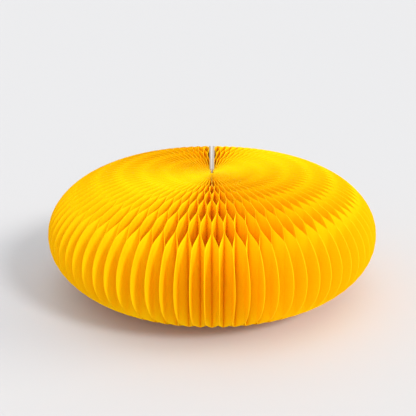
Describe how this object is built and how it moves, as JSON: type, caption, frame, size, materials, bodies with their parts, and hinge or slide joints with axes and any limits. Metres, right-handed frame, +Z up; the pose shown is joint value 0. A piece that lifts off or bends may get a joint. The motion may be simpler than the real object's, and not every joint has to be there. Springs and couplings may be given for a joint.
{
  "type": "paper honeycomb decoration",
  "caption": "Flattened round honeycomb decoration of stiff yellow paper leaves, fanned open round an upright spine and closed by two board covers.",
  "frame": {"origin": "middle of the underside, on the spine's axis, at the level of the table it rests on", "axes": "+Z up along the spine; the slit between the two covers is at the back, towards +Y; the front is towards -Y"},
  "size_m": [0.2, 0.1999, 0.0727],
  "materials": {
    "paper": "matte",
    "board": "matte",
    "cord": "matte",
    "dot": "matte"
  },
  "bodies": {
    "fixed_cover": {"fixed_cover": "board", "spine_cord": "cord", "fixed_closure_dot": "dot"},
    "moving_cover": {"moving_cover": "board", "moving_closure_dot": "dot"},
    "leaf_bundle_01": {"leaf_bundle_01": "paper"},
    "leaf_bundle_02": {"leaf_bundle_02": "paper"},
    "leaf_bundle_03": {"leaf_bundle_03": "paper"},
    "leaf_bundle_04": {"leaf_bundle_04": "paper"},
    "leaf_bundle_05": {"leaf_bundle_05": "paper"},
    "leaf_bundle_06": {"leaf_bundle_06": "paper"},
    "leaf_bundle_07": {"leaf_bundle_07": "paper"},
    "leaf_bundle_08": {"leaf_bundle_08": "paper"},
    "leaf_bundle_09": {"leaf_bundle_09": "paper"},
    "leaf_bundle_10": {"leaf_bundle_10": "paper"},
    "leaf_bundle_11": {"leaf_bundle_11": "paper"},
    "leaf_bundle_12": {"leaf_bundle_12": "paper"},
    "leaf_bundle_13": {"leaf_bundle_13": "paper"},
    "leaf_bundle_14": {"leaf_bundle_14": "paper"},
    "leaf_bundle_15": {"leaf_bundle_15": "paper"},
    "leaf_bundle_16": {"leaf_bundle_16": "paper"},
    "leaf_bundle_17": {"leaf_bundle_17": "paper"},
    "leaf_bundle_18": {"leaf_bundle_18": "paper"},
    "leaf_bundle_19": {"leaf_bundle_19": "paper"},
    "leaf_bundle_20": {"leaf_bundle_20": "paper"},
    "leaf_bundle_21": {"leaf_bundle_21": "paper"},
    "leaf_bundle_22": {"leaf_bundle_22": "paper"},
    "leaf_bundle_23": {"leaf_bundle_23": "paper"},
    "leaf_bundle_24": {"leaf_bundle_24": "paper"},
    "leaf_bundle_25": {"leaf_bundle_25": "paper"},
    "leaf_bundle_26": {"leaf_bundle_26": "paper"},
    "leaf_bundle_27": {"leaf_bundle_27": "paper"},
    "leaf_bundle_28": {"leaf_bundle_28": "paper"},
    "leaf_bundle_29": {"leaf_bundle_29": "paper"},
    "leaf_bundle_30": {"leaf_bundle_30": "paper"},
    "leaf_bundle_31": {"leaf_bundle_31": "paper"},
    "leaf_bundle_32": {"leaf_bundle_32": "paper"},
    "leaf_bundle_33": {"leaf_bundle_33": "paper"},
    "leaf_bundle_34": {"leaf_bundle_34": "paper"},
    "leaf_bundle_35": {"leaf_bundle_35": "paper"},
    "leaf_bundle_36": {"leaf_bundle_36": "paper"},
    "leaf_bundle_37": {"leaf_bundle_37": "paper"},
    "leaf_bundle_38": {"leaf_bundle_38": "paper"},
    "leaf_bundle_39": {"leaf_bundle_39": "paper"}
  },
  "joints": [
    {"name": "fan_fold", "type": "hinge", "parent": "fixed_cover", "child": "moving_cover", "pos_m": [0, 0, 0], "axis": [0, 0, 1], "range_deg": [-334, 0]},
    {"name": "bundle_fold_01", "type": "hinge", "parent": "fixed_cover", "child": "leaf_bundle_01", "pos_m": [0, 0, 0], "axis": [0, 0, 1], "range_deg": [-4.41, 0], "deforming": ["leaf_bundle_01"]},
    {"name": "bundle_fold_02", "type": "hinge", "parent": "fixed_cover", "child": "leaf_bundle_02", "pos_m": [0, 0, 0], "axis": [0, 0, 1], "range_deg": [-12.34, 0], "deforming": ["leaf_bundle_02"]},
    {"name": "bundle_fold_03", "type": "hinge", "parent": "fixed_cover", "child": "leaf_bundle_03", "pos_m": [0, 0, 0], "axis": [0, 0, 1], "range_deg": [-20.56, 0], "deforming": ["leaf_bundle_03"]},
    {"name": "bundle_fold_04", "type": "hinge", "parent": "fixed_cover", "child": "leaf_bundle_04", "pos_m": [0, 0, 0], "axis": [0, 0, 1], "range_deg": [-29.12, 0], "deforming": ["leaf_bundle_04"]},
    {"name": "bundle_fold_05", "type": "hinge", "parent": "fixed_cover", "child": "leaf_bundle_05", "pos_m": [0, 0, 0], "axis": [0, 0, 1], "range_deg": [-37.97, 0], "deforming": ["leaf_bundle_05"]},
    {"name": "bundle_fold_06", "type": "hinge", "parent": "fixed_cover", "child": "leaf_bundle_06", "pos_m": [0, 0, 0], "axis": [0, 0, 1], "range_deg": [-46.92, 0], "deforming": ["leaf_bundle_06"]},
    {"name": "bundle_fold_07", "type": "hinge", "parent": "fixed_cover", "child": "leaf_bundle_07", "pos_m": [0, 0, 0], "axis": [0, 0, 1], "range_deg": [-55.76, 0], "deforming": ["leaf_bundle_07"]},
    {"name": "bundle_fold_08", "type": "hinge", "parent": "fixed_cover", "child": "leaf_bundle_08", "pos_m": [0, 0, 0], "axis": [0, 0, 1], "range_deg": [-64.34, 0], "deforming": ["leaf_bundle_08"]},
    {"name": "bundle_fold_09", "type": "hinge", "parent": "fixed_cover", "child": "leaf_bundle_09", "pos_m": [0, 0, 0], "axis": [0, 0, 1], "range_deg": [-72.62, 0], "deforming": ["leaf_bundle_09"]},
    {"name": "bundle_fold_10", "type": "hinge", "parent": "fixed_cover", "child": "leaf_bundle_10", "pos_m": [0, 0, 0], "axis": [0, 0, 1], "range_deg": [-80.69, 0], "deforming": ["leaf_bundle_10"]},
    {"name": "bundle_fold_11", "type": "hinge", "parent": "fixed_cover", "child": "leaf_bundle_11", "pos_m": [0, 0, 0], "axis": [0, 0, 1], "range_deg": [-88.73, 0], "deforming": ["leaf_bundle_11"]},
    {"name": "bundle_fold_12", "type": "hinge", "parent": "fixed_cover", "child": "leaf_bundle_12", "pos_m": [0, 0, 0], "axis": [0, 0, 1], "range_deg": [-96.97, 0], "deforming": ["leaf_bundle_12"]},
    {"name": "bundle_fold_13", "type": "hinge", "parent": "fixed_cover", "child": "leaf_bundle_13", "pos_m": [0, 0, 0], "axis": [0, 0, 1], "range_deg": [-105.55, 0], "deforming": ["leaf_bundle_13"]},
    {"name": "bundle_fold_14", "type": "hinge", "parent": "fixed_cover", "child": "leaf_bundle_14", "pos_m": [0, 0, 0], "axis": [0, 0, 1], "range_deg": [-114.48, 0], "deforming": ["leaf_bundle_14"]},
    {"name": "bundle_fold_15", "type": "hinge", "parent": "fixed_cover", "child": "leaf_bundle_15", "pos_m": [0, 0, 0], "axis": [0, 0, 1], "range_deg": [-123.67, 0], "deforming": ["leaf_bundle_15"]},
    {"name": "bundle_fold_16", "type": "hinge", "parent": "fixed_cover", "child": "leaf_bundle_16", "pos_m": [0, 0, 0], "axis": [0, 0, 1], "range_deg": [-132.91, 0], "deforming": ["leaf_bundle_16"]},
    {"name": "bundle_fold_17", "type": "hinge", "parent": "fixed_cover", "child": "leaf_bundle_17", "pos_m": [0, 0, 0], "axis": [0, 0, 1], "range_deg": [-141.99, 0], "deforming": ["leaf_bundle_17"]},
    {"name": "bundle_fold_18", "type": "hinge", "parent": "fixed_cover", "child": "leaf_bundle_18", "pos_m": [0, 0, 0], "axis": [0, 0, 1], "range_deg": [-150.77, 0], "deforming": ["leaf_bundle_18"]},
    {"name": "bundle_fold_19", "type": "hinge", "parent": "fixed_cover", "child": "leaf_bundle_19", "pos_m": [0, 0, 0], "axis": [0, 0, 1], "range_deg": [-159.23, 0], "deforming": ["leaf_bundle_19"]},
    {"name": "bundle_fold_20", "type": "hinge", "parent": "fixed_cover", "child": "leaf_bundle_20", "pos_m": [0, 0, 0], "axis": [0, 0, 1], "range_deg": [-167.5, 0], "deforming": ["leaf_bundle_20"]},
    {"name": "bundle_fold_21", "type": "hinge", "parent": "fixed_cover", "child": "leaf_bundle_21", "pos_m": [0, 0, 0], "axis": [0, 0, 1], "range_deg": [-175.77, 0], "deforming": ["leaf_bundle_21"]},
    {"name": "bundle_fold_22", "type": "hinge", "parent": "fixed_cover", "child": "leaf_bundle_22", "pos_m": [0, 0, 0], "axis": [0, 0, 1], "range_deg": [-184.23, 0], "deforming": ["leaf_bundle_22"]},
    {"name": "bundle_fold_23", "type": "hinge", "parent": "fixed_cover", "child": "leaf_bundle_23", "pos_m": [0, 0, 0], "axis": [0, 0, 1], "range_deg": [-193.01, 0], "deforming": ["leaf_bundle_23"]},
    {"name": "bundle_fold_24", "type": "hinge", "parent": "fixed_cover", "child": "leaf_bundle_24", "pos_m": [0, 0, 0], "axis": [0, 0, 1], "range_deg": [-202.09, 0], "deforming": ["leaf_bundle_24"]},
    {"name": "bundle_fold_25", "type": "hinge", "parent": "fixed_cover", "child": "leaf_bundle_25", "pos_m": [0, 0, 0], "axis": [0, 0, 1], "range_deg": [-211.33, 0], "deforming": ["leaf_bundle_25"]},
    {"name": "bundle_fold_26", "type": "hinge", "parent": "fixed_cover", "child": "leaf_bundle_26", "pos_m": [0, 0, 0], "axis": [0, 0, 1], "range_deg": [-220.52, 0], "deforming": ["leaf_bundle_26"]},
    {"name": "bundle_fold_27", "type": "hinge", "parent": "fixed_cover", "child": "leaf_bundle_27", "pos_m": [0, 0, 0], "axis": [0, 0, 1], "range_deg": [-229.45, 0], "deforming": ["leaf_bundle_27"]},
    {"name": "bundle_fold_28", "type": "hinge", "parent": "fixed_cover", "child": "leaf_bundle_28", "pos_m": [0, 0, 0], "axis": [0, 0, 1], "range_deg": [-238.03, 0], "deforming": ["leaf_bundle_28"]},
    {"name": "bundle_fold_29", "type": "hinge", "parent": "fixed_cover", "child": "leaf_bundle_29", "pos_m": [0, 0, 0], "axis": [0, 0, 1], "range_deg": [-246.27, 0], "deforming": ["leaf_bundle_29"]},
    {"name": "bundle_fold_30", "type": "hinge", "parent": "fixed_cover", "child": "leaf_bundle_30", "pos_m": [0, 0, 0], "axis": [0, 0, 1], "range_deg": [-254.31, 0], "deforming": ["leaf_bundle_30"]},
    {"name": "bundle_fold_31", "type": "hinge", "parent": "fixed_cover", "child": "leaf_bundle_31", "pos_m": [0, 0, 0], "axis": [0, 0, 1], "range_deg": [-262.38, 0], "deforming": ["leaf_bundle_31"]},
    {"name": "bundle_fold_32", "type": "hinge", "parent": "fixed_cover", "child": "leaf_bundle_32", "pos_m": [0, 0, 0], "axis": [0, 0, 1], "range_deg": [-270.66, 0], "deforming": ["leaf_bundle_32"]},
    {"name": "bundle_fold_33", "type": "hinge", "parent": "fixed_cover", "child": "leaf_bundle_33", "pos_m": [0, 0, 0], "axis": [0, 0, 1], "range_deg": [-279.24, 0], "deforming": ["leaf_bundle_33"]},
    {"name": "bundle_fold_34", "type": "hinge", "parent": "fixed_cover", "child": "leaf_bundle_34", "pos_m": [0, 0, 0], "axis": [0, 0, 1], "range_deg": [-288.08, 0], "deforming": ["leaf_bundle_34"]},
    {"name": "bundle_fold_35", "type": "hinge", "parent": "fixed_cover", "child": "leaf_bundle_35", "pos_m": [0, 0, 0], "axis": [0, 0, 1], "range_deg": [-297.03, 0], "deforming": ["leaf_bundle_35"]},
    {"name": "bundle_fold_36", "type": "hinge", "parent": "fixed_cover", "child": "leaf_bundle_36", "pos_m": [0, 0, 0], "axis": [0, 0, 1], "range_deg": [-305.88, 0], "deforming": ["leaf_bundle_36"]},
    {"name": "bundle_fold_37", "type": "hinge", "parent": "fixed_cover", "child": "leaf_bundle_37", "pos_m": [0, 0, 0], "axis": [0, 0, 1], "range_deg": [-314.44, 0], "deforming": ["leaf_bundle_37"]},
    {"name": "bundle_fold_38", "type": "hinge", "parent": "fixed_cover", "child": "leaf_bundle_38", "pos_m": [0, 0, 0], "axis": [0, 0, 1], "range_deg": [-322.66, 0], "deforming": ["leaf_bundle_38"]},
    {"name": "bundle_fold_39", "type": "hinge", "parent": "fixed_cover", "child": "leaf_bundle_39", "pos_m": [0, 0, 0], "axis": [0, 0, 1], "range_deg": [-330.59, 0], "deforming": ["leaf_bundle_39"]}
  ],
  "couplings": [
    {"joint": "bundle_fold_01", "follows": "fan_fold", "ratio": 0.01171},
    {"joint": "bundle_fold_02", "follows": "fan_fold", "ratio": 0.03545},
    {"joint": "bundle_fold_03", "follows": "fan_fold", "ratio": 0.06005},
    {"joint": "bundle_fold_04", "follows": "fan_fold", "ratio": 0.0857},
    {"joint": "bundle_fold_05", "follows": "fan_fold", "ratio": 0.11218},
    {"joint": "bundle_fold_06", "follows": "fan_fold", "ratio": 0.13898},
    {"joint": "bundle_fold_07", "follows": "fan_fold", "ratio": 0.16545},
    {"joint": "bundle_fold_08", "follows": "fan_fold", "ratio": 0.19114},
    {"joint": "bundle_fold_09", "follows": "fan_fold", "ratio": 0.21593},
    {"joint": "bundle_fold_10", "follows": "fan_fold", "ratio": 0.24008},
    {"joint": "bundle_fold_11", "follows": "fan_fold", "ratio": 0.26417},
    {"joint": "bundle_fold_12", "follows": "fan_fold", "ratio": 0.28883},
    {"joint": "bundle_fold_13", "follows": "fan_fold", "ratio": 0.31451},
    {"joint": "bundle_fold_14", "follows": "fan_fold", "ratio": 0.34126},
    {"joint": "bundle_fold_15", "follows": "fan_fold", "ratio": 0.36877},
    {"joint": "bundle_fold_16", "follows": "fan_fold", "ratio": 0.39643},
    {"joint": "bundle_fold_17", "follows": "fan_fold", "ratio": 0.42361},
    {"joint": "bundle_fold_18", "follows": "fan_fold", "ratio": 0.4499},
    {"joint": "bundle_fold_19", "follows": "fan_fold", "ratio": 0.47524},
    {"joint": "bundle_fold_20", "follows": "fan_fold", "ratio": 0.5},
    {"joint": "bundle_fold_21", "follows": "fan_fold", "ratio": 0.52476},
    {"joint": "bundle_fold_22", "follows": "fan_fold", "ratio": 0.5501},
    {"joint": "bundle_fold_23", "follows": "fan_fold", "ratio": 0.57639},
    {"joint": "bundle_fold_24", "follows": "fan_fold", "ratio": 0.60357},
    {"joint": "bundle_fold_25", "follows": "fan_fold", "ratio": 0.63123},
    {"joint": "bundle_fold_26", "follows": "fan_fold", "ratio": 0.65874},
    {"joint": "bundle_fold_27", "follows": "fan_fold", "ratio": 0.68549},
    {"joint": "bundle_fold_28", "follows": "fan_fold", "ratio": 0.71117},
    {"joint": "bundle_fold_29", "follows": "fan_fold", "ratio": 0.73583},
    {"joint": "bundle_fold_30", "follows": "fan_fold", "ratio": 0.75992},
    {"joint": "bundle_fold_31", "follows": "fan_fold", "ratio": 0.78407},
    {"joint": "bundle_fold_32", "follows": "fan_fold", "ratio": 0.80886},
    {"joint": "bundle_fold_33", "follows": "fan_fold", "ratio": 0.83455},
    {"joint": "bundle_fold_34", "follows": "fan_fold", "ratio": 0.86102},
    {"joint": "bundle_fold_35", "follows": "fan_fold", "ratio": 0.88782},
    {"joint": "bundle_fold_36", "follows": "fan_fold", "ratio": 0.9143},
    {"joint": "bundle_fold_37", "follows": "fan_fold", "ratio": 0.93995},
    {"joint": "bundle_fold_38", "follows": "fan_fold", "ratio": 0.96455},
    {"joint": "bundle_fold_39", "follows": "fan_fold", "ratio": 0.98829}
  ]
}
